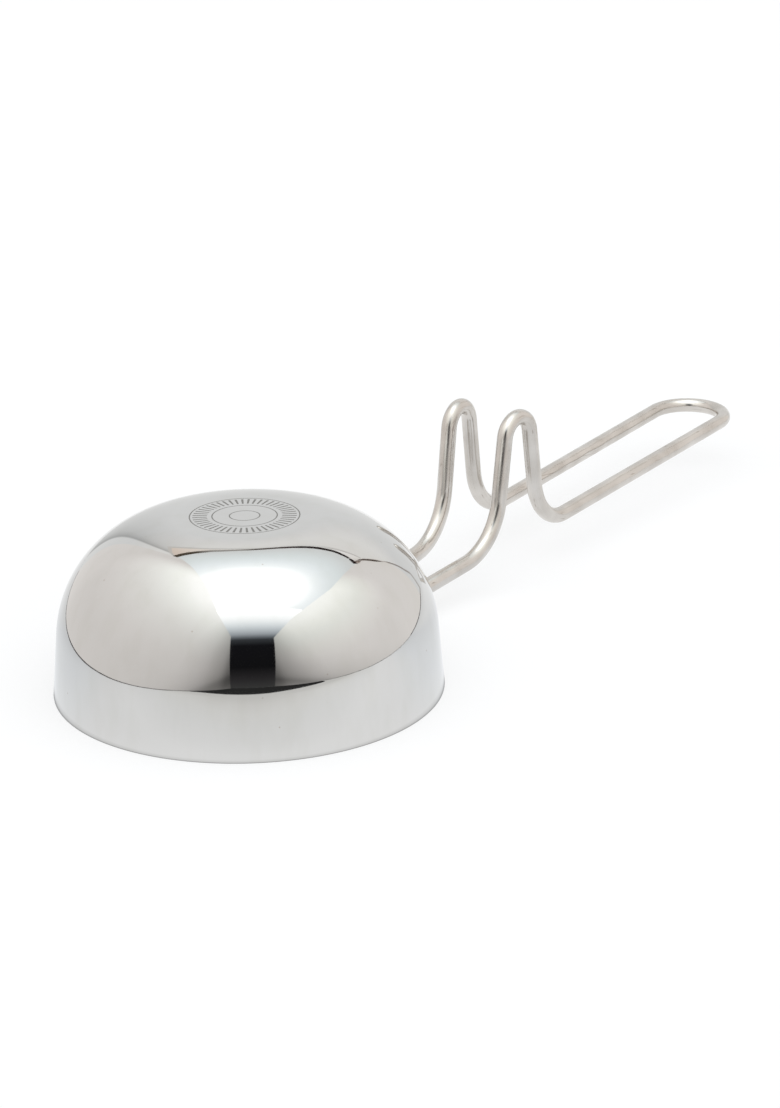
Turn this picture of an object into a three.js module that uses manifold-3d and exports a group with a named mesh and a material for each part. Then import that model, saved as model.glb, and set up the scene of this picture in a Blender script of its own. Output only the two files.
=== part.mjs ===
// Tadka pan lying upside down on its rim: a spun steel bowl and one bent wire that is welded to its wall.
// Millimetres, +Z up. The handle runs along +X from the bowl, and the origin lies in the plane of the rim,
// under the middle of the whole length. Heights are measured from that plane.
import * as THREE from 'three';
import { mergeVertices } from 'three/addons/utils/BufferGeometryUtils.js';
import Module from 'manifold-3d';

const wasm = await Module();
wasm.setup();

// Bowl
const rimRadius = 55;
const bowlHeight = 50;
const sheetThickness = 1.5;
const shoulderRadius = 35;
const wallDraft = THREE.MathUtils.degToRad(5.3);

// Weld bead around each end of the wire
const seatGap = 0.3;
const weldLeg = 1.5;
const weldLength = 2.6;
const weldToe = 0.4;
const weldCurveSteps = 6;
const weldToRim = 0.35;
const weldToWeld = 3.5;

// Handle wire: all heights, spacings and lengths are to the wire's centreline
const wireDiameter = 4.9;
const runOut = 55.8;
const bendHeight = 10.5;
const nearBendRadius = 19;
const humpFoot = 22.9;
const crownWidth = 11.2;
const crownHeight = 49.9;
const farBendRadius = 17;
const farBendSpacing = 23.4;
const gripLength = 131;
const tipHeight = 17.15;
const tipSpacing = 26.3;

// Facets
const bowlSides = 72;
const weldSides = 24;
const wireSides = 14;
const arcStep = THREE.MathUtils.degToRad(9);
const stationTolerance = 0.01;

// What follows from the sizes above
const wireRadius = wireDiameter / 2;
const weldBore = wireRadius + seatGap;
const weldRadius = weldBore + weldLeg;
const rootHeight = weldRadius + weldToRim;
const rootSpacing = 2 * weldRadius + weldToWeld;
const wallRadiusAtRoot = rimRadius - rootHeight * Math.tan(wallDraft);
const rootReach = Math.sqrt(wallRadiusAtRoot ** 2 - (rootSpacing / 2) ** 2);
const nearBendReach = rimRadius + runOut;
const farBendReach = nearBendReach + humpFoot;
const crownReach = nearBendReach + humpFoot / 2;
const tipReach = farBendReach + gripLength;
const middleOfLength = (tipReach + wireRadius - rimRadius) / 2;

const polishedSteel = new THREE.MeshStandardMaterial({ color: 0xd6d4d2, roughness: 0.08, metalness: 1 });
const drawnSteel = new THREE.MeshStandardMaterial({ color: 0xbdb6af, roughness: 0.3, metalness: 1 });
const weldSteel = new THREE.MeshStandardMaterial({ color: 0xa8a29c, roughness: 0.45, metalness: 1 });

// Joins and cuts work on solids, and the finished pieces are plain geometry again
function toSolid(geometry) {
  const bare = geometry.clone();
  bare.deleteAttribute('normal');
  bare.deleteAttribute('uv');
  const merged = mergeVertices(bare, 1e-4);
  const vertProperties = new Float32Array(merged.attributes.position.array);
  const triVerts = new Uint32Array(merged.index.array);
  return new wasm.Manifold(new wasm.Mesh({ numProp: 3, vertProperties, triVerts }));
}

function toGeometry(solid) {
  const { vertProperties, triVerts } = solid.getMesh();
  const geometry = new THREE.BufferGeometry();
  geometry.setAttribute('position', new THREE.BufferAttribute(vertProperties, 3));
  geometry.setIndex(new THREE.BufferAttribute(triVerts, 1));
  return geometry;
}

function piece(name, geometry, material) {
  const mesh = new THREE.Mesh(geometry, material);
  mesh.name = name;
  return mesh;
}

// Half profile of the bowl from the axis at the base down to the rim, grown outwards by an offset.
// The shoulder is one arc that runs into the drafted wall and into the flat base.
function bowlProfile(offset) {
  const centreHeight = bowlHeight - shoulderRadius;
  const wallReach = rimRadius * Math.cos(wallDraft) - shoulderRadius - centreHeight * Math.sin(wallDraft);
  const centreReach = wallReach / Math.cos(wallDraft);
  const shoulder = new THREE.Path();
  shoulder.absarc(centreReach, centreHeight, shoulderRadius + offset, Math.PI / 2, wallDraft, true);
  const steps = Math.ceil((Math.PI / 2 - wallDraft) / arcStep);
  const axisPoint = new THREE.Vector2(0, bowlHeight + offset);
  const rimPoint = new THREE.Vector2(rimRadius + offset / Math.cos(wallDraft), 0);
  return [axisPoint, ...shoulder.getSpacedPoints(steps), rimPoint];
}

// A profile of radius and height, turned about +Z
function turned(profile, sides) {
  return new THREE.LatheGeometry(profile, sides).rotateX(Math.PI / 2);
}

function makeBowl() {
  const outside = bowlProfile(0);
  const inside = bowlProfile(-sheetThickness).reverse();
  return turned([...outside, ...inside].reverse(), bowlSides);
}

// What the bowl fills, with the seat gap around it: it trims the wire and the welds to the wall
function makeWallCutter() {
  const foot = new THREE.Vector2(0, 0);
  return turned([...bowlProfile(seatGap), foot].reverse(), bowlSides);
}

// Largest bend radius whose arc starts no further from the corner than the given length
function bendRadius(before, corner, after, tangentLength) {
  const angle = before.clone().sub(corner).angleTo(after.clone().sub(corner));
  return tangentLength * Math.tan(angle / 2);
}

// Points along a line with rounded corners: straight runs have only their ends, bends a point each step
function roundedStations(corners) {
  const stations = [corners[0].at];
  const add = (point) => {
    const last = stations[stations.length - 1];
    if (point.distanceTo(last) > stationTolerance) stations.push(point);
  };
  for (let index = 1; index < corners.length - 1; index += 1) {
    const { at, radius } = corners[index];
    const towardsLast = corners[index - 1].at.clone().sub(at).normalize();
    const towardsNext = corners[index + 1].at.clone().sub(at).normalize();
    const half = towardsLast.angleTo(towardsNext) / 2;
    const middle = towardsLast.clone().add(towardsNext).normalize();
    const centre = at.clone().addScaledVector(middle, radius / Math.sin(half));
    const start = at.clone().addScaledVector(towardsLast, radius / Math.tan(half)).sub(centre);
    const axis = towardsNext.clone().cross(towardsLast).normalize();
    const turn = Math.PI - 2 * half;
    const steps = Math.ceil(turn / arcStep);
    for (let step = 0; step <= steps; step += 1) {
      add(start.clone().applyAxisAngle(axis, (turn * step) / steps).add(centre));
    }
  }
  add(corners[corners.length - 1].at);
  return stations;
}

// The wire's route, with one section of the wire at each station
class WireRoute extends THREE.Curve {
  constructor(stations) {
    super();
    this.stations = stations;
  }

  getPoint(t, target = new THREE.Vector3()) {
    const place = t * (this.stations.length - 1);
    const index = Math.min(Math.floor(place), this.stations.length - 2);
    return target.lerpVectors(this.stations[index], this.stations[index + 1], place - index);
  }

  getUtoTmapping(u) {
    return u;
  }
}

// A corner of the wire between the wall and the far bend, where the two halves spread in a straight line:
// side is 1 on the left and -1 on the right
function corner(side, reach, height) {
  const spread = (reach - rootReach) / (farBendReach - rootReach);
  const halfSpacing = THREE.MathUtils.lerp(rootSpacing, farBendSpacing, spread) / 2;
  return new THREE.Vector3(reach, side * halfSpacing, height);
}

// Where an end of the wire meets the wall, which way it leaves, and where it starts inside the sheet
function wireRoot(side) {
  const point = corner(side, rootReach, rootHeight);
  const leaving = corner(side, nearBendReach, bendHeight).sub(point).normalize();
  const start = point.clone().addScaledVector(leaving, -sheetThickness);
  return { point, leaving, start };
}

// Corners of one half of the wire, from the wall out to the tip
function halfCorners(side) {
  const nearBend = corner(side, nearBendReach, bendHeight);
  const crownIn = corner(side, crownReach - crownWidth / 2, crownHeight);
  const crownOut = corner(side, crownReach + crownWidth / 2, crownHeight);
  const farBend = corner(side, farBendReach, bendHeight);
  const tip = new THREE.Vector3(tipReach, (side * tipSpacing) / 2, tipHeight);
  const otherTip = new THREE.Vector3(tipReach, (-side * tipSpacing) / 2, tipHeight);
  const crownHalf = crownIn.distanceTo(crownOut) / 2;
  return [
    { at: wireRoot(side).start, radius: 0 },
    { at: nearBend, radius: nearBendRadius },
    { at: crownIn, radius: bendRadius(nearBend, crownIn, crownOut, crownHalf) },
    { at: crownOut, radius: bendRadius(crownIn, crownOut, farBend, crownHalf) },
    { at: farBend, radius: farBendRadius },
    { at: tip, radius: bendRadius(farBend, tip, otherTip, tipSpacing / 2) },
  ];
}

function makeWire(wallCutter) {
  const stations = roundedStations([...halfCorners(1), ...halfCorners(-1).reverse()]);
  const section = new THREE.Shape().absarc(0, 0, wireRadius, 0, 2 * Math.PI);
  const tube = new THREE.ExtrudeGeometry(section, {
    steps: stations.length - 1,
    curveSegments: wireSides / 2,
    extrudePath: new WireRoute(stations),
  });
  return toGeometry(toSolid(tube).subtract(wallCutter));
}

// A collar with a hollow outside curve, from the wall at its wide end to a thin toe along the wire
function makeWeld(side, wallCutter) {
  const { point, leaving } = wireRoot(side);
  const hollow = new THREE.Path();
  hollow.absellipse(weldRadius, weldLength, weldLeg - weldToe, weldLength, 1.5 * Math.PI, Math.PI, true);
  const profile = [
    new THREE.Vector2(weldBore, -sheetThickness),
    new THREE.Vector2(weldRadius, -sheetThickness),
    ...hollow.getSpacedPoints(weldCurveSteps),
    new THREE.Vector2(weldBore, weldLength),
    new THREE.Vector2(weldBore, -sheetThickness),
  ];
  const collar = new THREE.LatheGeometry(profile, weldSides);
  collar.applyQuaternion(new THREE.Quaternion().setFromUnitVectors(new THREE.Vector3(0, 1, 0), leaving));
  collar.translate(point.x, point.y, point.z);
  return toGeometry(toSolid(collar).subtract(wallCutter));
}

const wallCutter = toSolid(makeWallCutter());

const pan = new THREE.Group();
pan.position.x = -middleOfLength;
pan.add(piece('bowl', makeBowl(), polishedSteel));
pan.add(piece('handle_wire', makeWire(wallCutter), drawnSteel));
pan.add(piece('weld_left', makeWeld(1, wallCutter), weldSteel));
pan.add(piece('weld_right', makeWeld(-1, wallCutter), weldSteel));

const model = new THREE.Group();
model.add(pan);

export default model;
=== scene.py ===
# Tadka pan lying upside down on its rim: a spun steel bowl, one bent wire for a handle, two weld beads.
import math

import bpy
from mathutils import Matrix, Vector


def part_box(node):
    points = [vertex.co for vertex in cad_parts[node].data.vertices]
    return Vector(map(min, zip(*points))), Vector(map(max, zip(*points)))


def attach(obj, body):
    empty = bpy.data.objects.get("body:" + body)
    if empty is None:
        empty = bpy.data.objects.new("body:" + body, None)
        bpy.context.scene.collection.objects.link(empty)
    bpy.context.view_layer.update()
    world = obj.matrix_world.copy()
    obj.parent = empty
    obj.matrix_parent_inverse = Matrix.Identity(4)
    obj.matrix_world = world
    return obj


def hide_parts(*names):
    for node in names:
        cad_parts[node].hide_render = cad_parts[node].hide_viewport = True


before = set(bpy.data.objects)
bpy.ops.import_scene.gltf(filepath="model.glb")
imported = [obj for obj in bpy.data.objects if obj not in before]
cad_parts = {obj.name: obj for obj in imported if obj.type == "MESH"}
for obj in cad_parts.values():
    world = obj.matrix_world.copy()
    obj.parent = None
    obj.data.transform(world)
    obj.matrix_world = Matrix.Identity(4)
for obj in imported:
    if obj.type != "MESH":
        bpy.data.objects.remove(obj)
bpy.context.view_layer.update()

mm = 0.001
scene = bpy.context.scene
bowlLow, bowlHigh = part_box("bowl")
bowlAxis = (bowlLow.x + bowlHigh.x) / 2  # the bowl's axis stands on the X axis, here
rimRadius = (bowlHigh.y - bowlLow.y) / 2
bowlHeight = bowlHigh.z
sheetThickness = 1.5 * mm
wallDraft = math.radians(5.3)
wireRadius = 2.45 * mm
tiny = 0.001 * mm  # points closer than this are one point


# Small helpers
def linear(hexColour):
    channels = [int(hexColour[i:i + 2], 16) / 255 for i in (1, 3, 5)]
    return [c / 12.92 if c <= 0.04045 else ((c + 0.055) / 1.055) ** 2.4 for c in channels] + [1]


def addNode(tree, kind, inputs=None, stops=None, **settings):
    node = tree.nodes.new(kind)
    for name, value in settings.items():
        setattr(node, name, value)
    for number, (position, colour) in enumerate(stops or []):  # a colour ramp's stops, two or more
        ramp = node.color_ramp.elements
        stop = ramp[number] if number < 2 else ramp.new(position)
        stop.position = position
        stop.color = colour
    for name, value in (inputs or {}).items():
        if isinstance(value, bpy.types.NodeSocket):
            tree.links.new(value, node.inputs[name])
        else:
            node.inputs[name].default_value = value
    return node


def newMaterial(name):
    material = bpy.data.materials.new(name)
    material.use_nodes = True
    material.node_tree.nodes.clear()
    return material, material.node_tree


def selectPoints(test):  # ends in edit mode, with only those points selected that pass the test
    bpy.ops.object.mode_set(mode="EDIT")
    bpy.ops.mesh.select_mode(type="VERT")
    bpy.ops.mesh.select_all(action="DESELECT")
    bpy.ops.object.mode_set(mode="OBJECT")
    for vertex in bpy.context.object.data.vertices:
        vertex.select = test(vertex.co)
    bpy.ops.object.mode_set(mode="EDIT")


def closeUp():  # one skin with its faces outwards
    bpy.ops.mesh.select_all(action="SELECT")
    bpy.ops.mesh.remove_doubles(threshold=tiny)
    bpy.ops.mesh.normals_make_consistent(inside=False)
    bpy.ops.object.mode_set(mode="OBJECT")


def finishPiece(piece, name, material, node):
    piece.name = name
    piece.data.name = name
    piece.data.materials.append(material)
    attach(piece, "root")
    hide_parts(node)
    print(name, "made with", len(piece.data.polygons), "faces")


# Camera: the viewing angle, framing and lens of the photograph
camera = {
    "position": (-613.95 * mm, -412.15 * mm, 269.72 * mm),
    "azimuth": -50.94,  # degrees round the pan, 0 looks along +Y
    "yaw": 3.5,  # degrees, aims a little right of the bowl
    "pitch": 19.52,  # degrees down
    "roll": -0.645,  # degrees
    "lens": 81.23,  # mm
    "sensor": 36.0,  # mm wide
}


def makeCamera():
    data = bpy.data.cameras.new("camera")
    data.lens = camera["lens"]
    data.sensor_width = camera["sensor"]
    obj = bpy.data.objects.new("camera", data)
    scene.collection.objects.link(obj)
    turn = Matrix.Rotation(math.radians(camera["azimuth"] - camera["yaw"]), 4, "Z")
    tilt = Matrix.Rotation(math.radians(90 - camera["pitch"]), 4, "X")
    roll = Matrix.Rotation(math.radians(camera["roll"]), 4, "Z")
    obj.matrix_world = Matrix.Translation(camera["position"]) @ turn @ tilt @ roll
    scene.camera = obj
    print("camera set")


makeCamera()


# Polished stainless steel, spun and buffed to a mirror: neutral grey and sharp reflections, with faint rings left by
# the buffing wheel, a slow waviness of the sheet, smears and specks. The base carries an etched dial of ticks.
polish = {
    "colour": "#D1D1D0",
    "roughness": (0.02, 0.05),
    "ringWidth": 0.6 * mm,  # buffing rings are finer, drawn as wide as the render needs
    "ringDepth": 0.0003 * mm,
    "ringShare": (0.3, 0.7),  # of the noise's range, from the smoothest to the roughest
    "waveWidth": 22 * mm,
    "waveDepth": 0.006 * mm,
    "smearColour": "#CECECC",
    "smearWidth": 5 * mm,  # smears left by wiping run up and down the wall
    "smearStretch": 3,
    "smearShare": (0.45, 0.75),  # of the noise's range, where a smear begins and where it is full
    "speckColour": "#B9B2AB",
    "speckSpacing": 7 * mm,
    "speckRadius": 0.34 * mm,
    "speckCore": 0.3,  # of the radius, where a speck is full
    "etchColour": "#7E7D7A",
    "etchRoughness": 0.38,
    "etchRings": (4.2 * mm, 9.0 * mm, 15.2 * mm),
    "etchLine": 0.36 * mm,
    "tickCount": 48,
    "tickMiddle": 12.4 * mm,
    "tickLength": 4.0 * mm,
    "tickShare": 0.36,  # of the space from tick to tick
}


def makePolishedSteel():
    material, tree = newMaterial("polished_stainless_steel")
    place = addNode(tree, "ShaderNodeTexCoord")
    centred = addNode(tree, "ShaderNodeMapping", {
        "Vector": place.outputs["Object"], "Location": (bowlAxis, 0, 0),
    }, vector_type="TEXTURE")
    split = addNode(tree, "ShaderNodeSeparateXYZ", {0: centred.outputs[0]})
    flat = addNode(tree, "ShaderNodeCombineXYZ", {"X": split.outputs["X"], "Y": split.outputs["Y"]})
    reach = addNode(tree, "ShaderNodeVectorMath", {0: flat.outputs[0]}, operation="LENGTH")
    profile = addNode(tree, "ShaderNodeCombineXYZ", {"X": reach.outputs["Value"], "Z": split.outputs["Z"]})
    rings = addNode(tree, "ShaderNodeTexNoise", {
        "Vector": profile.outputs[0], "Scale": 1 / polish["ringWidth"], "Detail": 3.0,
    })
    waves = addNode(tree, "ShaderNodeTexNoise", {
        "Vector": centred.outputs[0], "Scale": 1 / polish["waveWidth"], "Detail": 1.0,
    })

    # Faint smears from wiping, and a few specks
    wiped = addNode(tree, "ShaderNodeMapping", {
        "Vector": centred.outputs[0], "Scale": (1, 1, polish["smearStretch"]),
    }, vector_type="TEXTURE")
    smears = addNode(tree, "ShaderNodeTexNoise", {
        "Vector": wiped.outputs[0], "Scale": 1 / polish["smearWidth"], "Detail": 2.0,
    })
    smeared = addNode(tree, "ShaderNodeMapRange", {
        "Value": smears.outputs["Fac"], "From Min": polish["smearShare"][0], "From Max": polish["smearShare"][1],
    })
    cells = addNode(tree, "ShaderNodeTexVoronoi", {
        "Vector": centred.outputs[0], "Scale": 1 / polish["speckSpacing"],
    })
    speckEdge = polish["speckRadius"] / polish["speckSpacing"]
    specks = addNode(tree, "ShaderNodeMapRange", {
        "Value": cells.outputs["Distance"], "From Min": speckEdge, "From Max": polish["speckCore"] * speckEdge,
    })

    # The etched dial: three rings and a circle of ticks, on the flat base only
    turn = addNode(tree, "ShaderNodeTexGradient", {0: flat.outputs[0]}, gradient_type="RADIAL")
    count = addNode(tree, "ShaderNodeMath", {0: turn.outputs["Fac"], 1: polish["tickCount"]}, operation="MULTIPLY")
    step = addNode(tree, "ShaderNodeMath", {0: count.outputs[0]}, operation="FRACT")
    tick = addNode(tree, "ShaderNodeMath", {
        0: step.outputs[0], 1: 0.5, 2: polish["tickShare"] / 2,
    }, operation="COMPARE")
    band = addNode(tree, "ShaderNodeMath", {
        0: reach.outputs["Value"], 1: polish["tickMiddle"], 2: polish["tickLength"] / 2,
    }, operation="COMPARE")
    marks = addNode(tree, "ShaderNodeMath", {0: tick.outputs[0], 1: band.outputs[0]}, operation="MULTIPLY")
    for radius in polish["etchRings"]:
        ring = addNode(tree, "ShaderNodeMath", {
            0: reach.outputs["Value"], 1: radius, 2: polish["etchLine"] / 2,
        }, operation="COMPARE")
        marks = addNode(tree, "ShaderNodeMath", {0: marks.outputs[0], 1: ring.outputs[0]}, operation="MAXIMUM")
    onBase = addNode(tree, "ShaderNodeMath", {
        0: split.outputs["Z"], 1: bowlHeight - sheetThickness / 2,
    }, operation="GREATER_THAN")
    etched = addNode(tree, "ShaderNodeMath", {0: marks.outputs[0], 1: onBase.outputs[0]}, operation="MULTIPLY")

    handled = addNode(tree, "ShaderNodeMix", {
        "Factor": smeared.outputs["Result"], 6: linear(polish["colour"]), 7: linear(polish["smearColour"]),
    }, data_type="RGBA")
    spotted = addNode(tree, "ShaderNodeMix", {
        "Factor": specks.outputs["Result"], 6: handled.outputs[2], 7: linear(polish["speckColour"]),
    }, data_type="RGBA")
    colour = addNode(tree, "ShaderNodeMix", {
        "Factor": etched.outputs[0], 6: spotted.outputs[2], 7: linear(polish["etchColour"]),
    }, data_type="RGBA")
    shine = addNode(tree, "ShaderNodeMapRange", {
        "Value": rings.outputs["Fac"], "From Min": polish["ringShare"][0], "From Max": polish["ringShare"][1],
        "To Min": polish["roughness"][0], "To Max": polish["roughness"][1],
    })
    dull = addNode(tree, "ShaderNodeMix", {
        "Factor": etched.outputs[0], "A": shine.outputs["Result"], "B": polish["etchRoughness"],
    })
    wavy = addNode(tree, "ShaderNodeBump", {"Height": waves.outputs["Fac"], "Distance": polish["waveDepth"]})
    buffed = addNode(tree, "ShaderNodeBump", {
        "Height": rings.outputs["Fac"], "Distance": polish["ringDepth"], "Normal": wavy.outputs[0],
    })
    shader = addNode(tree, "ShaderNodeBsdfPrincipled", {
        "Base Color": colour.outputs[2], "Metallic": 1.0,
        "Roughness": dull.outputs[0], "Normal": buffed.outputs[0],
    })
    addNode(tree, "ShaderNodeOutputMaterial", {"Surface": shader.outputs["BSDF"]})
    return material


# Drawn stainless wire, tumbled but not buffed: warmer and softer than the bowl, with fine lines along its length
# from the die, slow kinks from the bending, dull patches and small dark pits
drawn = {
    "light": "#D4D0CB",
    "dark": "#C3BEB8",
    "pitColour": "#958B82",
    "roughness": (0.16, 0.28),
    "lineWidth": 0.35 * mm,
    "lineDepth": 0.0007 * mm,
    "stretch": 40,  # the lines are this many times as long as wide
    "kinkWidth": 9 * mm,
    "kinkDepth": 0.6 * mm,
    "patchWidth": 10 * mm,
    "lineShare": 0.2,  # of the lines in the wear, beside the patches
    "wornShare": (0.36, 0.64),  # of the noise's range, where wear begins and where it is full
    "pitWidth": 0.9 * mm,
    "pitStretch": 5,
    "pitShare": (0.66, 0.80),  # of the noise's range, where a pit begins and where it is full
}


def makeDrawnSteel():
    material, tree = newMaterial("drawn_stainless_wire")
    around = addNode(tree, "ShaderNodeAttribute", attribute_name="wireGrain")
    place = addNode(tree, "ShaderNodeTexCoord")
    slow = addNode(tree, "ShaderNodeVectorMath", {
        0: place.outputs["Object"], "Scale": 1 / drawn["stretch"],
    }, operation="SCALE")
    grain = addNode(tree, "ShaderNodeVectorMath", {0: around.outputs["Vector"], 1: slow.outputs[0]}, operation="ADD")
    lines = addNode(tree, "ShaderNodeTexNoise", {
        "Vector": grain.outputs[0], "Scale": 1 / drawn["lineWidth"], "Detail": 2.0,
    })
    patches = addNode(tree, "ShaderNodeTexNoise", {
        "Vector": place.outputs["Object"], "Scale": 1 / drawn["patchWidth"], "Detail": 2.0,
    })
    blend = addNode(tree, "ShaderNodeMix", {
        "Factor": drawn["lineShare"], "A": patches.outputs["Fac"], "B": lines.outputs["Fac"],
    })
    worn = addNode(tree, "ShaderNodeMapRange", {
        "Value": blend.outputs[0], "From Min": drawn["wornShare"][0], "From Max": drawn["wornShare"][1],
    })
    colour = addNode(tree, "ShaderNodeMix", {
        "Factor": worn.outputs["Result"], 6: linear(drawn["light"]), 7: linear(drawn["dark"]),
    }, data_type="RGBA")
    short = addNode(tree, "ShaderNodeVectorMath", {
        0: place.outputs["Object"], "Scale": 1 / drawn["pitStretch"],
    }, operation="SCALE")
    spots = addNode(tree, "ShaderNodeVectorMath", {0: around.outputs["Vector"], 1: short.outputs[0]}, operation="ADD")
    speckle = addNode(tree, "ShaderNodeTexNoise", {
        "Vector": spots.outputs[0], "Scale": 1 / drawn["pitWidth"], "Detail": 2.0,
    })
    pits = addNode(tree, "ShaderNodeMapRange", {
        "Value": speckle.outputs["Fac"], "From Min": drawn["pitShare"][0], "From Max": drawn["pitShare"][1],
    })
    pitted = addNode(tree, "ShaderNodeMix", {
        "Factor": pits.outputs["Result"], 6: colour.outputs[2], 7: linear(drawn["pitColour"]),
    }, data_type="RGBA")
    shine = addNode(tree, "ShaderNodeMapRange", {
        "Value": worn.outputs["Result"], "To Min": drawn["roughness"][0], "To Max": drawn["roughness"][1],
    })
    kinks = addNode(tree, "ShaderNodeTexNoise", {
        "Vector": place.outputs["Object"], "Scale": 1 / drawn["kinkWidth"], "Detail": 0.0,
    })
    bent = addNode(tree, "ShaderNodeBump", {"Height": kinks.outputs["Fac"], "Distance": drawn["kinkDepth"]})
    bump = addNode(tree, "ShaderNodeBump", {
        "Height": lines.outputs["Fac"], "Distance": drawn["lineDepth"], "Normal": bent.outputs[0],
    })
    shader = addNode(tree, "ShaderNodeBsdfPrincipled", {
        "Base Color": pitted.outputs[2], "Metallic": 1.0,
        "Roughness": shine.outputs["Result"], "Normal": bump.outputs[0],
    })
    addNode(tree, "ShaderNodeOutputMaterial", {"Surface": shader.outputs["BSDF"]})
    return material


# Weld metal, wire-brushed: duller and greyer, with a straw heat tint towards the wire
bead = {
    "grey": "#A8A29C",
    "straw": "#A5957D",
    "roughness": 0.34,
    "grainWidth": 0.5 * mm,
    "grainDepth": 0.02 * mm,
    "tintWidth": 3 * mm,
}


def makeWeldSteel():
    material, tree = newMaterial("brushed_weld_steel")
    place = addNode(tree, "ShaderNodeTexCoord")
    grain = addNode(tree, "ShaderNodeTexNoise", {
        "Vector": place.outputs["Object"], "Scale": 1 / bead["grainWidth"], "Detail": 3.0,
    })
    tint = addNode(tree, "ShaderNodeTexNoise", {
        "Vector": place.outputs["Object"], "Scale": 1 / bead["tintWidth"], "Detail": 1.0,
    })
    colour = addNode(tree, "ShaderNodeMix", {
        "Factor": tint.outputs["Fac"], 6: linear(bead["grey"]), 7: linear(bead["straw"]),
    }, data_type="RGBA")
    bump = addNode(tree, "ShaderNodeBump", {"Height": grain.outputs["Fac"], "Distance": bead["grainDepth"]})
    shader = addNode(tree, "ShaderNodeBsdfPrincipled", {
        "Base Color": colour.outputs[2], "Metallic": 1.0,
        "Roughness": bead["roughness"], "Normal": bump.outputs[0],
    })
    addNode(tree, "ShaderNodeOutputMaterial", {"Surface": shader.outputs["BSDF"]})
    return material


# Bowl: one closed profile of outside, rim and inside, spun round the axis
bowl = {
    "shoulderRadius": 35 * mm,  # outside
    "baseRings": (0.5, 0.9, 1.0),  # rings on the flat base, as shares of its radius
    "shoulderSteps": 56,
    "wallRings": 6,
    "sides": 256,
    "rimRounding": 0.25 * mm,
    "rimSegments": 3,
}


def makeBowl():
    shoulder = bowl["shoulderRadius"]
    centreHeight = bowlHeight - shoulder
    wallReach = rimRadius * math.cos(wallDraft) - shoulder - centreHeight * math.sin(wallDraft)
    baseRadius = wallReach / math.cos(wallDraft)
    centre = Vector((bowlAxis + baseRadius, 0, centreHeight))
    sweep = math.pi / 2 - wallDraft
    outward = Vector((math.cos(wallDraft), 0, math.sin(wallDraft)))
    wallOut = centre + shoulder * outward
    wallIn = wallOut - sheetThickness * outward
    rimOut = Vector((bowlAxis + rimRadius, 0, 0))
    rimIn = rimOut - Vector((sheetThickness / math.cos(wallDraft), 0, 0))
    down = [wallOut.lerp(rimOut, ring / bowl["wallRings"]) for ring in range(1, bowl["wallRings"] + 1)]
    up = [rimIn.lerp(wallIn, ring / bowl["wallRings"]) for ring in range(1, bowl["wallRings"] + 1)]
    baseOut = [Vector((bowlAxis + s * baseRadius, 0, bowlHeight)) for s in (0, *bowl["baseRings"])]
    baseIn = [p - Vector((0, 0, sheetThickness)) for p in reversed(baseOut)]

    def draw(points):  # carries the profile on through the points
        for before, after in zip(points, points[1:]):
            bpy.ops.mesh.extrude_region_move(TRANSFORM_OT_translate={"value": after - before})

    def bend(angle):  # spin turns clockwise about its axis
        bpy.ops.mesh.spin(steps=bowl["shoulderSteps"], angle=angle, center=centre, axis=(0, 1, 0))

    bpy.ops.object.select_all(action="DESELECT")
    bpy.ops.mesh.primitive_plane_add(size=mm, location=baseOut[0])
    bpy.ops.object.transform_apply(location=True)
    bpy.ops.object.mode_set(mode="EDIT")
    bpy.ops.mesh.merge(type="CENTER")
    draw(baseOut)
    bend(-sweep)
    draw([wallOut, *down, rimIn, *up])
    bend(sweep)
    draw(baseIn)
    bpy.ops.mesh.select_all(action="SELECT")
    bpy.ops.mesh.spin(steps=bowl["sides"], angle=2 * math.pi, center=(bowlAxis, 0, 0), axis=(0, 0, 1))
    closeUp()
    selectPoints(lambda point: abs(point.z) < tiny)
    bpy.ops.mesh.select_mode(type="EDGE")
    bpy.ops.mesh.region_to_loop()  # from the rim's flat face to its two edges
    bpy.ops.mesh.bevel(offset=bowl["rimRounding"], segments=bowl["rimSegments"], affect="EDGES")
    bpy.ops.object.mode_set(mode="OBJECT")
    bpy.ops.object.shade_smooth()
    finishPiece(bpy.context.object, "spun_bowl", makePolishedSteel(), "bowl")


makeBowl()


# Handle: one round wire, made as its left half and mirrored
wire = {
    "sides": 48,
    "bendStep": math.radians(4),
    "rootHeight": 4.6 * mm,
    "rootSpacing": 12.0 * mm,
    "runOut": 55.8 * mm,  # from the rim to the first bend
    "bendHeight": 10.5 * mm,
    "nearBendRadius": 19 * mm,
    "humpFoot": 22.9 * mm,
    "crownWidth": 11.2 * mm,
    "farBendRadius": 17 * mm,
    "farBendSpacing": 23.4 * mm,
    "gripLength": 131 * mm,
    "tipHeight": 17.15 * mm,
    "tipSpacing": 26.3 * mm,
    "joinReach": 0.01 * mm,  # points of the two halves that are closer than this become one
    "smoothAngle": math.radians(60),
}
wallAtRoot = rimRadius - wire["rootHeight"] * math.tan(wallDraft)
rootReach = math.sqrt(wallAtRoot ** 2 - (wire["rootSpacing"] / 2) ** 2)
nearReach = rimRadius + wire["runOut"]
farReach = nearReach + wire["humpFoot"]
crownReach = nearReach + wire["humpFoot"] / 2
tipReach = farReach + wire["gripLength"]
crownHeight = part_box("handle_wire")[1].z - wireRadius


def wireCorner(reach, height):  # the halves spread in a straight line from the wall to the far bend
    share = (reach - rootReach) / (farReach - rootReach)
    spacing = wire["rootSpacing"] + share * (wire["farBendSpacing"] - wire["rootSpacing"])
    return Vector((bowlAxis + reach, spacing / 2, height))


wireRoot = wireCorner(rootReach, wire["rootHeight"])
nearBend = wireCorner(nearReach, wire["bendHeight"])
leaving = (nearBend - wireRoot).normalized()
wireStart = wireRoot - leaving * sheetThickness / 2  # the cut end sits in the middle of the sheet


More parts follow.
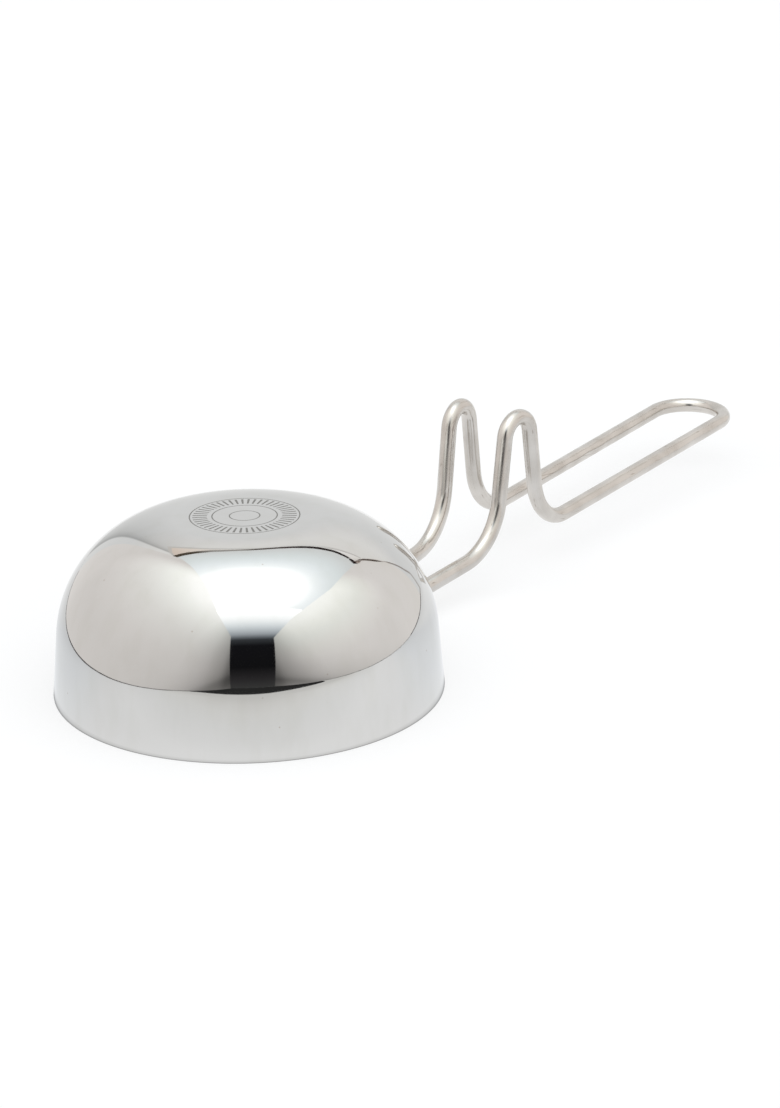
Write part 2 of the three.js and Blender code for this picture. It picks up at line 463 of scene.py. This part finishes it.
def wireBends():  # corners with their bend radii, from the wall to the tip
    def fullRadius(before, at, after, reach):  # of the arc that starts that far from its corner
        return reach * math.tan((before - at).angle(after - at) / 2)

    crownIn = wireCorner(crownReach - wire["crownWidth"] / 2, crownHeight)
    crownOut = wireCorner(crownReach + wire["crownWidth"] / 2, crownHeight)
    farBend = wireCorner(farReach, wire["bendHeight"])
    tip = Vector((bowlAxis + tipReach, wire["tipSpacing"] / 2, wire["tipHeight"]))
    otherTip = Vector((tip.x, -tip.y, tip.z))
    crownHalf = (crownOut - crownIn).length / 2
    return [
        (nearBend, wire["nearBendRadius"]),
        (crownIn, fullRadius(nearBend, crownIn, crownOut, crownHalf)),
        (crownOut, fullRadius(crownIn, crownOut, farBend, crownHalf)),
        (farBend, wire["farBendRadius"]),
        (tip, fullRadius(farBend, tip, otherTip, wire["tipSpacing"] / 2)),
        (otherTip, 0),
    ]


def ringAtRoot(sides, radius):  # a circle square to the wire, at its cut end
    bpy.ops.object.select_all(action="DESELECT")
    bpy.ops.mesh.primitive_circle_add(
        vertices=sides, radius=radius, fill_type="NOTHING",
        location=wireStart, rotation=leaving.to_track_quat("Z", "Y").to_euler(),
    )
    bpy.ops.object.transform_apply(location=True, rotation=True)
    return bpy.context.object


def makeWire():
    half = ringAtRoot(wire["sides"], wireRadius)
    grain = half.data.attributes.new("wireGrain", "FLOAT_VECTOR", "POINT")  # every extrusion carries it along
    for index in range(wire["sides"]):
        turn = 2 * math.pi * index / wire["sides"]
        grain.data[index].vector = (wireRadius * math.cos(turn), wireRadius * math.sin(turn), 0)
    bpy.ops.object.mode_set(mode="EDIT")
    bpy.ops.mesh.select_all(action="SELECT")
    at = wireStart
    bends = wireBends()
    for (corner, radius), (following, _) in zip(bends, bends[1:]):
        coming = (corner - at).normalized()
        going = (following - corner).normalized()
        turn = coming.angle(going)
        reach = radius * math.tan(turn / 2)
        arcStart = corner - coming * reach
        if (arcStart - at).length > tiny:
            bpy.ops.mesh.extrude_region_move(TRANSFORM_OT_translate={"value": arcStart - at})
        axis = coming.cross(going).normalized()
        centre = arcStart + axis.cross(coming) * radius
        steps = math.ceil(turn / wire["bendStep"])
        bpy.ops.mesh.spin(steps=steps, angle=-turn, center=centre, axis=axis)  # spin turns clockwise
        at = corner + going * reach
    selectPoints(lambda point: (point - wireStart).length < wireRadius + tiny)
    bpy.ops.mesh.edge_face_add()  # closes the cut end
    bpy.ops.object.mode_set(mode="OBJECT")
    mirror = half.modifiers.new("other half", "MIRROR")
    mirror.use_axis = (False, True, False)
    mirror.merge_threshold = wire["joinReach"]
    bpy.ops.object.modifier_apply(modifier=mirror.name)
    bpy.ops.object.mode_set(mode="EDIT")
    closeUp()
    bpy.ops.object.shade_smooth_by_angle(angle=wire["smoothAngle"])
    finishPiece(half, "wire_handle", makeDrawnSteel(), "handle_wire")


makeWire()


# Welds: a hollow fillet round each end of the wire
weld = {
    "sides": 36,
    "radius": 4.25 * mm,  # where it meets the wall
    "leg": 1.5 * mm,
    "toe": 0.4 * mm,
    "bore": 2.5 * mm,
    "length": 2.6 * mm,
    "curveSteps": 6,
    "smoothAngle": math.radians(40),
}


def makeWelds():
    left = ringAtRoot(weld["sides"], weld["radius"])
    bpy.ops.object.mode_set(mode="EDIT")
    bpy.ops.mesh.select_all(action="SELECT")
    rings = [(-sheetThickness / 2, weld["radius"]), (0, weld["radius"])]
    for step in range(1, weld["curveSteps"] + 1):
        turn = math.pi / 2 * step / weld["curveSteps"]
        hollow = (weld["leg"] - weld["toe"]) * math.sin(turn)
        rings.append((weld["length"] * (1 - math.cos(turn)), weld["radius"] - hollow))
    rings += [(weld["length"], weld["bore"]), (-sheetThickness / 2, weld["bore"])]
    for (depth, radius), (newDepth, newRadius) in zip(rings, rings[1:]):
        bpy.ops.mesh.extrude_region_move(TRANSFORM_OT_translate={"value": leaving * (newDepth - depth)})
        share = newRadius / radius
        bpy.ops.transform.resize(value=(share, share, share), center_override=wireRoot + leaving * newDepth)
    selectPoints(lambda point: abs((point - wireStart).dot(leaving)) < tiny)
    bpy.ops.mesh.bridge_edge_loops()  # from the first ring to the last, inside the sheet
    closeUp()
    bpy.ops.object.shade_smooth_by_angle(angle=weld["smoothAngle"])
    bpy.ops.object.duplicate()
    right = bpy.context.object
    right.scale.y = -1
    bpy.ops.object.transform_apply(scale=True)
    bpy.ops.object.mode_set(mode="EDIT")
    closeUp()
    steel = makeWeldSteel()
    finishPiece(left, "weld_bead_left", steel, "weld_left")
    finishPiece(right, "weld_bead_right", steel, "weld_right")


makeWelds()


# Studio: paper cards glowing with painted light and shade, and an overhead soft light, that only reflections see, a
# white floor and a soft sun
brightest = 2.4  # what a colour ramp's white stands for


def studioPoint(right, away, up=0):  # millimetres right of, behind and above the bowl's axis, for the camera
    turn = Matrix.Rotation(math.radians(camera["azimuth"]), 3, "Z")
    return turn @ Vector((right * mm, away * mm, up * mm)) + Vector((bowlAxis, 0, 0))


def grey(value):
    return (value, value, value, 1)


def glow(red, green, blue):  # a brightness as a colour on a ramp
    return (red / brightest, green / brightest, blue / brightest, 1)


def stageObject(obj, name, material):
    obj.name = name
    obj.data.materials.append(material)
    return obj


def onlyReflected(obj):
    obj.visible_camera = False
    obj.visible_diffuse = False
    obj.visible_shadow = False
    obj.visible_transmission = False


def flatPiece(name, corners, material):
    mesh = bpy.data.meshes.new(name)
    mesh.from_pydata(corners, [], [range(len(corners))])
    obj = bpy.data.objects.new(name, mesh)
    scene.collection.objects.link(obj)
    onlyReflected(stageObject(obj, name, material))


# An upright card. Its light goes by the distance from a spot, in the directions that have weight, and each of its
# shades by the way in one direction. All are in mm along the card and up, and start and far as studioPoint has them.
def makeCard(name, card):
    start, far = Vector(card["start"]), Vector(card["far"])
    along = (far - start).normalized()
    inward = Vector((along.y, -along.x))
    start += inward * card.get("lift", 0)  # folds and lines hang just in front of a card
    heading = studioPoint(*along) - studioPoint(0, 0)
    material, tree = newMaterial(name + "_paper")
    place = addNode(tree, "ShaderNodeTexCoord")
    flat = addNode(tree, "ShaderNodeMapping", {
        "Vector": place.outputs["Object"], "Location": studioPoint(*start),
        "Rotation": (0, 0, math.atan2(heading.y, heading.x)), "Scale": (mm, mm, mm),
    }, vector_type="TEXTURE")
    weighed = addNode(tree, "ShaderNodeVectorMath", {0: flat.outputs[0], 1: card["weights"]}, operation="MULTIPLY")
    away = addNode(tree, "ShaderNodeVectorMath", {0: weighed.outputs[0], 1: card["spot"]}, operation="DISTANCE")
    spread = card["light"][-1][0]
    share = addNode(tree, "ShaderNodeMapRange", {"Value": away.outputs["Value"], "From Max": spread})
    light = addNode(tree, "ShaderNodeValToRGB", {0: share.outputs[0]}, stops=[
        (reach / spread, glow(*colour)) for reach, *colour in card["light"]
    ])
    strength = brightest
    for direction, stops in card.get("shades", ()):
        low, high = stops[0][0], stops[-1][0]
        slant = addNode(tree, "ShaderNodeVectorMath", {0: flat.outputs[0], 1: direction}, operation="DOT_PRODUCT")
        near = addNode(tree, "ShaderNodeMapRange", {
            "Value": slant.outputs["Value"], "From Min": low, "From Max": high,
        })
        shade = addNode(tree, "ShaderNodeValToRGB", {0: near.outputs[0]}, stops=[
            ((way - low) / (high - low), grey(value)) for way, value in stops
        ])
        product = addNode(tree, "ShaderNodeMath", {0: shade.outputs[0], 1: strength}, operation="MULTIPLY")
        strength = product.outputs[0]
    paper = addNode(tree, "ShaderNodeEmission", {"Color": light.outputs[0], "Strength": strength})
    addNode(tree, "ShaderNodeOutputMaterial", {"Surface": paper.outputs[0]})
    flatPiece(name, [studioPoint(*(start + along * reach), height) for reach, height in card["outline"]], material)


# Side cards are brightest up near the light and fall off into the dark gap that the camera looks through, most of
# all at the foot
gapSlope, cornerSlope = 0.3, 0.05  # what a mm up adds to the way along
leftFootSlope, rightFootSlope = 0.4, 0.25  # what a mm along adds to the way up
gapShade = ((0, 0.15), (26, 0.21), (38, 0.27), (50, 0.345), (63, 0.41), (87, 0.49), (107, 0.57), (125, 0.65),
            (153, 0.75), (177, 0.83), (225, 0.89), (280, 0.94), (420, 0.965), (480, 1.0))
leftFootShade = ((8, 0.95), (16, 0.75), (24, 0.62), (36, 0.54), (45, 0.57), (52, 0.68), (60, 0.83), (70, 0.91),
                 (80, 0.96), (100, 1.0))
rightFootShade = ((5, 0.95), (17, 0.75), (24, 0.62), (34, 0.54), (42, 0.64), (50, 0.77), (60, 0.85), (75, 0.91),
                  (100, 0.97), (125, 1.0))
rightEnd = 1241  # mm along the right card, where it meets the gap


def sooner(stops, way):  # the same shade, started this much sooner
    return [(at - way, value) for at, value in stops]


leftCard = {
    "start": (-57, -290),
    "far": (-223, 402),
    "outline": ((-14, 0), (4, 245), (120, 300), (250, 420), (500, 560), (712, 640), (712, 0)),
    "weights": (1, 0, 1),
    "spot": (165, 0, 460),
    "light": ((0, 1.80, 1.80, 1.78), (185, 1.56, 1.56, 1.52), (245, 1.39, 1.40, 1.34), (280, 1.29, 1.29, 1.24),
              (335, 1.13, 1.11, 1.07), (395, 1.01, 0.97, 0.94), (435, 0.95, 0.91, 0.88), (900, 0.92, 0.89, 0.87)),
    "shades": (((1, 0, gapSlope), gapShade), ((leftFootSlope, 0, 1), leftFootShade)),
}
rightCard = {
    "start": (731, 727),
    "far": (80, -330),
    "outline": ((0, 0), (0, 983), (30, 953), (291, 704), (362, 635), (450, 600), (680, 495), (880, 385), (1120, 310),
                (1221, 250), (1247, 0)),
    "weights": (1, 0, 1),
    "spot": (1061, 0, 460),
    "light": ((0, 1.66, 1.66, 1.64), (185, 1.47, 1.48, 1.42), (245, 1.31, 1.32, 1.25), (290, 1.20, 1.21, 1.15),
              (340, 1.12, 1.10, 1.05), (395, 1.03, 0.99, 0.96), (440, 0.99, 0.95, 0.92), (900, 0.96, 0.92, 0.88)),
    "shades": (((-1, 0, gapSlope), sooner(gapShade, rightEnd)),
               ((-rightFootSlope, 0, 1), sooner(rightFootShade, rightFootSlope * rightEnd))),
}
backTop = ((0, 581), (77, 559), (153, 541), (222, 546), (270, 554), (322, 566), (375, 593), (421, 621), (482, 659),
           (569, 717), (684, 783), (769, 837), (872, 898), (1008, 983))
backCard = {
    "start": (-223, 402),
    "far": (731, 727),
    "outline": ((0, 0), *backTop, (1008, 0)),
    "weights": (0, 0, 1),
    "spot": (0, 0, 0),
    "light": ((0, 0.885, 0.89, 0.885), (250, 0.88, 0.885, 0.885), (340, 0.94, 0.93, 0.92), (430, 1.0, 0.99, 0.97),
              (600, 1.0, 0.98, 0.95)),
    # painted shade in the corner, darkest close to the left card
    "shades": (((1, 0, cornerSlope), (
        (0, 1), (42, 1), (50, 0.58), (60, 0.69), (75, 0.80), (100, 0.87), (140, 0.93), (200, 1),
    )),),  # darkest close to the left card
}


def alongTop(top, low, high):  # a strip from one height to another, both measured from a card's top edge
    upper = [(reach, height + high) for reach, height in reversed(top)]
    return [(reach, height + low) for reach, height in top] + upper


# The back card's top edge is folded, with painted light and shade along it: a painted shade line at the crease,
# painted light on the fold that widens at both ends, and a dark seam painted as shade
foldEdge = ((6, 570), (30, 505), (64, 440), (95, 466), (153, 500), (222, 520), (270, 532), (322, 544), (375, 570),
            (421, 598), (482, 634), (569, 687), (684, 735), (769, 765), (872, 790), (1008, 825))
seamShade = {
    **backCard,
    "lift": 2,
    "outline": alongTop(backTop, -22, 20),
    "weights": (1, 0, 0),
    "light": ((0, 0.09, 0.07, 0.05), (100, 0.09, 0.07, 0.05), (150, 0.40, 0.38, 0.36), (225, 0.45, 0.43, 0.41),
              (260, 0.14, 0.12, 0.11), (350, 0.08, 0.06, 0.06), (420, 0.03, 0.02, 0.02), (1008, 0.02, 0.01, 0.01)),
    "shades": (),
}
litFold = {
    **seamShade,
    "lift": 1,
    "outline": (*foldEdge, *reversed(backTop)),
    "light": ((0, 0.90, 0.76, 0.66), (60, 0.94, 0.81, 0.71), (95, 0.99, 0.88, 0.79), (153, 1.02, 0.95, 0.88),
              (222, 1.03, 1.00, 0.96), (600, 1.00, 0.98, 0.95), (690, 1.10, 1.08, 1.06), (1008, 1.05, 1.01, 0.97)),
}
creaseShade = {
    **seamShade,
    "lift": 1,
    "outline": alongTop(foldEdge, -28, 0),
    "light": ((0, 0.74, 0.70, 0.66), (150, 0.78, 0.76, 0.73), (222, 0.80, 0.79, 0.77), (270, 0.93, 0.92, 0.90),
              (480, 0.92, 0.91, 0.89), (600, 0.74, 0.72, 0.70), (800, 0.72, 0.69, 0.67), (1008, 0.76, 0.73, 0.70)),
}
# painted shade, where the dark seam runs on along the right card
sideSeamShade = {  # the dark seam runs on along the right card
    **rightCard,
    "lift": 2,
    "outline": alongTop(((0, 983), (30, 953), (291, 704), (362, 635)), -24, 22),
    "weights": (1, 0, 0),
    "spot": (0, 0, 0),
    "light": ((0, 0.02, 0.01, 0.01), (362, 0.02, 0.01, 0.01)),
    "shades": (),
}
# painted shade in the corner of the back and right cards, and along the back card's foot
backCornerShade = {  # a dark line leans across the corner of the back and right cards, and follows the back card's foot
    **seamShade,
    "outline": ((853, 0), (836, 114), (884, 183), (938, 318), (975, 424), (1008, 510), (1008, 455), (1005, 424),
                (968, 318), (918, 183), (868, 114), (885, 12), (1008, 9), (1008, 0)),
    "light": ((838, 0.55, 0.52, 0.50), (900, 0.45, 0.42, 0.40), (1008, 0.30, 0.26, 0.23)),
}
# painted shade in the corner, running on up the right card
sideCornerShade = {  # the line runs on up the right card
    **sideSeamShade,
    "outline": ((0, 425), (0, 520), (32, 545), (42, 640), (52, 745), (213, 745), (198, 640), (180, 525)),
    "spot": (121, 0, 0),  # darkest along the middle
    "light": ((0, 0.08, 0.06, 0.05), (36, 0.12, 0.09, 0.075), (56, 0.45, 0.40, 0.37), (78, 0.84, 0.78, 0.74),
              (121, 0.84, 0.78, 0.74)),
}
# painted shade where the corner line meets the seam's end
cornerTipShade = {  # and meets the seam's end
    **sideCornerShade,
    "outline": ((95, 700), (95, 770), (260, 738), (356, 658), (346, 610), (235, 658)),
    "light": ((0, 0.11, 0.08, 0.065), (100, 0.15, 0.11, 0.09), (160, 0.45, 0.36, 0.32), (235, 0.55, 0.46, 0.41)),
}
# painted shade along the foot of each side card
leftFootShadeLine = {  # a thin dark line runs along each side card's foot
    **leftCard,
    "lift": 2,
    "outline": ((60, 0), (60, 0.6), (250, 0.8), (290, 1.4), (340, 1.8), (450, 1.6), (712, 1.2), (712, 0)),
    "weights": (1, 0, 0),
    "spot": (0, 0, 0),
    "light": ((0, 0.14, 0.13, 0.13), (712, 0.14, 0.13, 0.13)),
    "shades": (),
}
rightFootShadeLine = {
    **sideSeamShade,
    "outline": ((0, 0), (0, 8), (350, 6), (760, 2), (760, 0)),
    "light": ((0, 0.14, 0.13, 0.13), (760, 0.2, 0.19, 0.19)),
}
frontPanel = {  # behind the camera's gap: dark below, running up into the light
    "start": (380, -335),
    "far": (-300, -335),
    "outline": ((0, 0), (0, 720), (680, 720), (680, 0)),
    "weights": (0, 0, 1),
    "spot": (0, 0, 0),
    "light": ((0, 0.055, 0.055, 0.055), (43, 0.03, 0.028, 0.03), (97, 0.008, 0.008, 0.009),
              (216, 0.009, 0.009, 0.011), (259, 0.05, 0.055, 0.062), (276, 0.18, 0.20, 0.22), (302, 0.45, 0.49, 0.53),
              (324, 0.61, 0.66, 0.70), (356, 0.82, 0.88, 0.92), (389, 1.02, 1.08, 1.11), (432, 1.24, 1.29, 1.31),
              (486, 1.45, 1.48, 1.49), (583, 1.66, 1.68, 1.68), (720, 2.1, 2.1, 2.1)),
}


def makeCards():
    for name, card in (
        ("left_card", leftCard), ("right_card", rightCard), ("back_card", backCard), ("back_seam_shade", seamShade),
        ("back_lit_fold", litFold), ("back_crease_shade", creaseShade), ("side_seam_shade", sideSeamShade), ("back_corner_shade", backCornerShade),
        ("side_corner_shade", sideCornerShade), ("corner_tip_shade", cornerTipShade), ("left_foot_shade_line", leftFootShadeLine),
        ("right_foot_shade_line", rightFootShadeLine), ("front_panel", frontPanel),
    ):
        makeCard(name, card)


# The tent above the cards, with the soft light in it
dome = {
    "radius": 1400 * mm,
    "segments": 96,
    "rings": 48,
    "lightTilt": 6.7,  # degrees, the overhead light leans this far towards the camera
    "lightSide": 13,  # degrees, and this far to its right
    "light": ((80, 0.88, 0.88, 0.86), (52, 0.91, 0.92, 0.91), (46, 0.93, 0.96, 0.96), (39, 1.04, 1.11, 1.12),
              (35, 1.13, 1.20, 1.22), (31, 1.24, 1.31, 1.34), (27, 1.39, 1.45, 1.47), (22, 1.72, 1.75, 1.76),
              (14, 2.4, 2.4, 2.4)),  # degrees from the middle of the light, and colour
}


def makeDome():
    material, tree = newMaterial("tent_roof")
    place = addNode(tree, "ShaderNodeTexCoord")
    facing = camera["azimuth"] - 90  # the camera's side, as an angle from +X
    turned = addNode(tree, "ShaderNodeMapping", {
        "Vector": place.outputs["Object"], "Location": (bowlAxis, 0, 0),
        "Rotation": (0, math.radians(dome["lightTilt"]), math.radians(facing + dome["lightSide"])),
        "Scale": (dome["radius"],) * 3,
    }, vector_type="TEXTURE")
    split = addNode(tree, "ShaderNodeSeparateXYZ", {0: turned.outputs[0]})
    roof = addNode(tree, "ShaderNodeValToRGB", {0: split.outputs["Z"]}, stops=[
        (math.cos(math.radians(angle)), glow(*colour)) for angle, *colour in dome["light"]
    ])
    light = addNode(tree, "ShaderNodeEmission", {"Color": roof.outputs[0], "Strength": brightest})
    addNode(tree, "ShaderNodeOutputMaterial", {"Surface": light.outputs[0]})
    bpy.ops.object.select_all(action="DESELECT")
    bpy.ops.mesh.primitive_uv_sphere_add(
        segments=dome["segments"], ring_count=dome["rings"], radius=dome["radius"], location=(bowlAxis, 0, 0),
    )
    bpy.ops.object.transform_apply(location=True)
    onlyReflected(stageObject(bpy.context.object, "tent_roof", material))


# The white sheet under the pan as reflections see it, glowing with painted light and shade: a painted contact shadow
# at the rim, and brightness that changes across it and from front to back. It ends a little short of the cards, in a
# dark gap painted as shade.
sheet = {
    # painted contact shadow round the bowl's rim
    "contactShadow": ((0, 0.3), (55.0, 0.4), (55.7, 0.88), (57.2, 1.03), (66, 1.02), (80, 1.0)),  # mm from the axis
    # painted light and shade on the sheet, across it and from front to back
    "across": ((-130, 0.88), (-100, 0.95), (-80, 0.98), (-50, 0.985), (-20, 1.01), (0, 1.0), (30, 1.02), (65, 1.03),
               (85, 1.04), (110, 1.03), (140, 1.02), (200, 1.01), (400, 0.90)),  # mm right of the axis
    "depth": ((-170, 0.76, 0.75, 0.73), (-140, 0.78, 0.77, 0.75), (-128, 0.86, 0.85, 0.83), (-113, 0.92, 0.915, 0.90),
              (-96, 0.95, 0.95, 0.945), (-77, 0.985, 0.985, 0.985), (-62, 1.02, 1.02, 1.02), (-35, 1.0, 1.0, 1.005),
              (-15, 0.965, 0.98, 0.995), (5, 0.925, 0.945, 0.97), (25, 0.90, 0.92, 0.94), (60, 0.885, 0.90, 0.92),
              (110, 0.95, 0.955, 0.96), (300, 1.0, 1.0, 1.0)),  # mm behind the axis, and colour
    "outline": ((-213, 398), (690, 712), (556, 460), (390, 190), (322, 80), (257, -28), (205, -108), (186, -142),
                (168, -170), (152, -198), (141, -176), (132, -171), (84, -171), (25, -163), (-20, -162), (-45, -161),
                (-70, -158), (-86, -149), (-91, -136), (-97, -111), (-103, -89), (-114, -41), (-120, -15), (-129, 22),
                (-152, 120)),
    "gapBrightness": 0.03,
    "gapHeight": -0.1,  # mm, just under the sheet
    "gapOutline": ((-420, -336), (900, -336), (900, 860), (-420, 860)),
}


def makeSheet():
    material, tree = newMaterial("white_sheet")
    place = addNode(tree, "ShaderNodeTexCoord")
    turned = addNode(tree, "ShaderNodeMapping", {
        "Vector": place.outputs["Object"], "Location": (bowlAxis, 0, 0),
        "Rotation": (0, 0, math.radians(camera["azimuth"])),
    }, vector_type="TEXTURE")
    away = addNode(tree, "ShaderNodeVectorMath", {0: turned.outputs[0]}, operation="LENGTH")
    clear = sheet["contactShadow"][-1][0]
    share = addNode(tree, "ShaderNodeMapRange", {"Value": away.outputs["Value"], "From Max": clear * mm})
    contact = addNode(tree, "ShaderNodeValToRGB", {0: share.outputs[0]}, stops=[
        (reach / clear, grey(value)) for reach, value in sheet["contactShadow"]
    ])
    split = addNode(tree, "ShaderNodeSeparateXYZ", {0: turned.outputs[0]})
    left, right = sheet["across"][0][0], sheet["across"][-1][0]
    side = addNode(tree, "ShaderNodeMapRange", {
        "Value": split.outputs["X"], "From Min": left * mm, "From Max": right * mm,
    })
    across = addNode(tree, "ShaderNodeValToRGB", {0: side.outputs[0]}, stops=[
        ((reach - left) / (right - left), grey(value)) for reach, value in sheet["across"]
    ])
    front, back = sheet["depth"][0][0], sheet["depth"][-1][0]
    behind = addNode(tree, "ShaderNodeMapRange", {
        "Value": split.outputs["Y"], "From Min": front * mm, "From Max": back * mm,
    })
    light = addNode(tree, "ShaderNodeValToRGB", {0: behind.outputs[0]}, stops=[
        ((reach - front) / (back - front), glow(*colour)) for reach, *colour in sheet["depth"]
    ])
    both = addNode(tree, "ShaderNodeMath", {0: contact.outputs[0], 1: across.outputs[0]}, operation="MULTIPLY")
    strength = addNode(tree, "ShaderNodeMath", {0: both.outputs[0], 1: brightest}, operation="MULTIPLY")
    paper = addNode(tree, "ShaderNodeEmission", {"Color": light.outputs[0], "Strength": strength.outputs[0]})
    addNode(tree, "ShaderNodeOutputMaterial", {"Surface": paper.outputs[0]})
    flatPiece("white_sheet", [studioPoint(*corner) for corner in sheet["outline"]], material)
    # a dark plane just under the sheet: painted shade in the gap at the cards' feet
    dark, tree = newMaterial("foot_gap_shade")
    shade = addNode(tree, "ShaderNodeEmission", {"Color": grey(1), "Strength": sheet["gapBrightness"]})
    addNode(tree, "ShaderNodeOutputMaterial", {"Surface": shade.outputs[0]})
    flatPiece("foot_gap_shade", [studioPoint(*corner, sheet["gapHeight"]) for corner in sheet["gapOutline"]], dark)


# The floor that the camera sees
floor = {
    "size": 40.0,  # metres
    "colour": "#F6F8FA",
    "ownLight": 0.66,  # of its brightness, the rest comes from the sun and takes the shadow
}


def makeFloor():
    material, tree = newMaterial("white_floor")
    matt = addNode(tree, "ShaderNodeBsdfDiffuse", {"Color": linear(floor["colour"])})
    shine = addNode(tree, "ShaderNodeEmission", {"Color": grey(1), "Strength": 1.0})
    mixed = addNode(tree, "ShaderNodeMixShader", {0: floor["ownLight"], 1: matt.outputs[0], 2: shine.outputs[0]})
    addNode(tree, "ShaderNodeOutputMaterial", {"Surface": mixed.outputs[0]})
    bpy.ops.object.select_all(action="DESELECT")
    bpy.ops.mesh.primitive_plane_add(size=floor["size"])
    stageObject(bpy.context.object, "white_floor", material).visible_glossy = False


# A wide sun that lights the floor and leaves the pan's soft shadow there
sun = {
    "strength": 3.6,
    "angle": 125,  # degrees across
    "lean": (10, -12, 0),  # degrees from straight down
}


def makeSun():
    data = bpy.data.lights.new("soft_sun", "SUN")
    data.energy = sun["strength"]
    data.angle = math.radians(sun["angle"])
    obj = bpy.data.objects.new("soft_sun", data)
    obj.rotation_euler = [math.radians(angle) for angle in sun["lean"]]
    obj.visible_glossy = False
    scene.collection.objects.link(obj)


# The white room behind everything, which the camera and the steel see and which lights nothing else
def makeWorld():
    world = bpy.data.worlds.new("white_room")
    world.use_nodes = True
    tree = world.node_tree
    tree.nodes.clear()
    path = addNode(tree, "ShaderNodeLightPath")
    mirrored = addNode(tree, "ShaderNodeMath", {
        0: path.outputs["Is Glossy Ray"], 1: path.outputs["Is Transmission Ray"],
    }, operation="MAXIMUM")
    seen = addNode(tree, "ShaderNodeMath", {
        0: path.outputs["Is Camera Ray"], 1: mirrored.outputs[0],
    }, operation="MAXIMUM")
    white = addNode(tree, "ShaderNodeBackground", {"Color": grey(1), "Strength": seen.outputs[0]})
    addNode(tree, "ShaderNodeOutputWorld", {"Surface": white.outputs[0]})
    scene.world = world


makeCards()
makeDome()
makeSheet()
makeFloor()
makeSun()
makeWorld()
scene.view_settings.view_transform = "Standard"
print("studio made")
